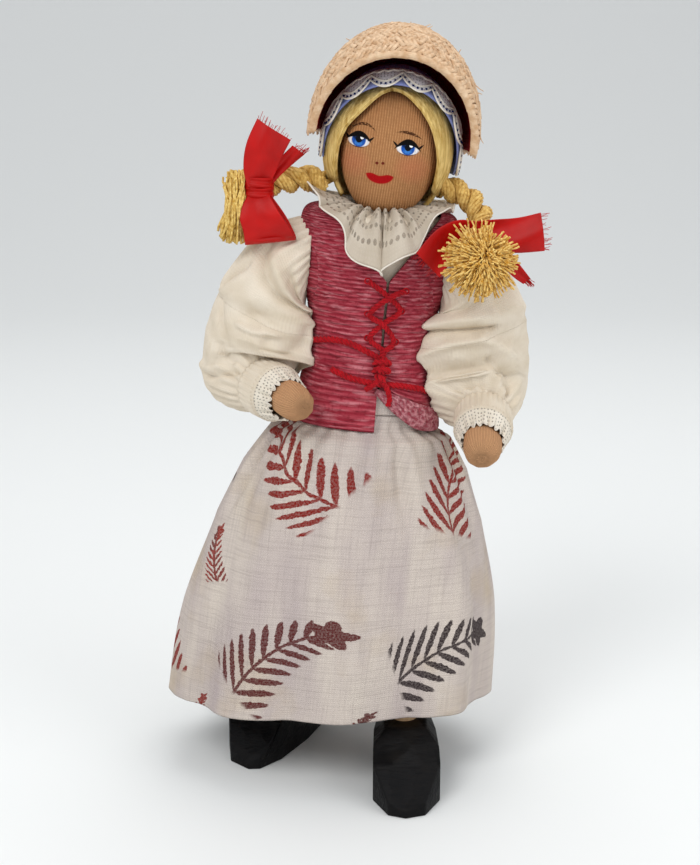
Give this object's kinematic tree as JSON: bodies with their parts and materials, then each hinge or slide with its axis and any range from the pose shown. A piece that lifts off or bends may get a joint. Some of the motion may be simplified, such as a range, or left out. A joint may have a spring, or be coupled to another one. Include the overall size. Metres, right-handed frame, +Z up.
{
  "type": "costume doll",
  "caption": "Costume doll on a peg-jointed wooden body: straw bonnet, floss hair with ribboned braids, laced vest, puffed sleeves, printed skirt and carved black clogs.",
  "frame": {"origin": "on the ground below the middle of the doll", "axes": "+Z up, the doll faces -Y, +X to the right of a viewer who faces the doll"},
  "size_m": [0.123, 0.0921, 0.241],
  "materials": {
    "beech": "satin",
    "black_paint": "satin",
    "face_knit": "matt",
    "hand_knit": "matt",
    "yarn_hair": "matt",
    "straw_plait": "matt",
    "lining": "matt",
    "blue_cotton": "matt",
    "cotton_lace": "matt",
    "sheer_cotton": "matt",
    "ivory_cotton": "matt",
    "crimson_weave": "matt",
    "red_cord": "matt",
    "red_satin": "gloss",
    "printed_cotton": "matt",
    "steel_pin": "satin"
  },
  "bodies": {
    "torso": {"trunk": "beech", "shoulder_peg": "beech", "hip_peg": "beech", "neck_peg": "beech", "blouse_body": "ivory_cotton", "neckband": "sheer_cotton", "collar_ruffle": "sheer_cotton", "vest_back": "crimson_weave", "vest_front_left": "crimson_weave", "vest_front_right": "crimson_weave", "lacing": "red_cord", "waist_cord": "red_cord", "waistband": "printed_cotton", "skirt": "printed_cotton", "tassel_left": "yarn_hair", "tassel_right": "yarn_hair", "ribbon_left": "red_satin", "ribbon_right": "red_satin"},
    "head": {"head_ball": "beech", "face_cover": "face_knit", "hair_left": "yarn_hair", "hair_right": "yarn_hair", "hair_back": "yarn_hair", "cap": "blue_cotton", "cap_lace": "cotton_lace", "bonnet": "straw_plait", "bonnet_lining": "lining", "bonnet_binding": "straw_plait", "braid_left": "yarn_hair", "braid_right": "yarn_hair"},
    "arm_left": {"upper_arm_left": "beech", "elbow_pin_left": "steel_pin", "sleeve_upper_left": "ivory_cotton"},
    "forearm_left": {"forearm_left": "beech", "hand_left": "hand_knit", "sleeve_lower_left": "ivory_cotton", "cuff_left": "ivory_cotton", "cuff_lace_left": "cotton_lace"},
    "leg_left": {"leg_left": "beech", "clog_left": "black_paint"},
    "arm_right": {"upper_arm_right": "beech", "elbow_pin_right": "steel_pin", "sleeve_upper_right": "ivory_cotton"},
    "forearm_right": {"forearm_right": "beech", "hand_right": "hand_knit", "sleeve_lower_right": "ivory_cotton", "cuff_right": "ivory_cotton", "cuff_lace_right": "cotton_lace"},
    "leg_right": {"leg_right": "beech", "clog_right": "black_paint"}
  },
  "joints": [
    {"name": "head_turn", "type": "hinge", "parent": "torso", "child": "head", "pos_m": [0.00844, 0.0095, 0.17827], "axis": [0.1392, 0, 0.9903], "range_deg": [-25, 25], "deforming": ["braid_left", "braid_right"]},
    {"name": "shoulder_left", "type": "hinge", "parent": "torso", "child": "arm_left", "pos_m": [-0.01341, 0.0095, 0.17146], "axis": [0.9969, 0, -0.0785], "range_deg": [-45, 2], "deforming": ["sleeve_upper_left"]},
    {"name": "elbow_left", "type": "hinge", "parent": "arm_left", "child": "forearm_left", "pos_m": [-0.03585, 0.0095, 0.12926], "axis": [0.732, 0.5592, -0.3892], "range_deg": [-20, 16], "deforming": ["sleeve_lower_left"]},
    {"name": "hip_left", "type": "hinge", "parent": "torso", "child": "leg_left", "pos_m": [-0.01046, 0.0095, 0.10503], "axis": [0.9969, 0, -0.0785], "range_deg": [-16, 8]},
    {"name": "shoulder_right", "type": "hinge", "parent": "torso", "child": "arm_right", "pos_m": [0.02896, 0.0095, 0.16813], "axis": [0.9969, 0, -0.0785], "range_deg": [-45, 10], "deforming": ["sleeve_upper_right"]},
    {"name": "elbow_right", "type": "hinge", "parent": "arm_right", "child": "forearm_right", "pos_m": [0.04294, 0.0095, 0.12242], "axis": [0.9387, -0.1908, 0.287], "range_deg": [-30, 45], "deforming": ["sleeve_lower_right"]},
    {"name": "hip_right", "type": "hinge", "parent": "torso", "child": "leg_right", "pos_m": [0.01566, 0.0095, 0.10297], "axis": [0.9969, 0, -0.0785], "range_deg": [-2, 24]}
  ]
}
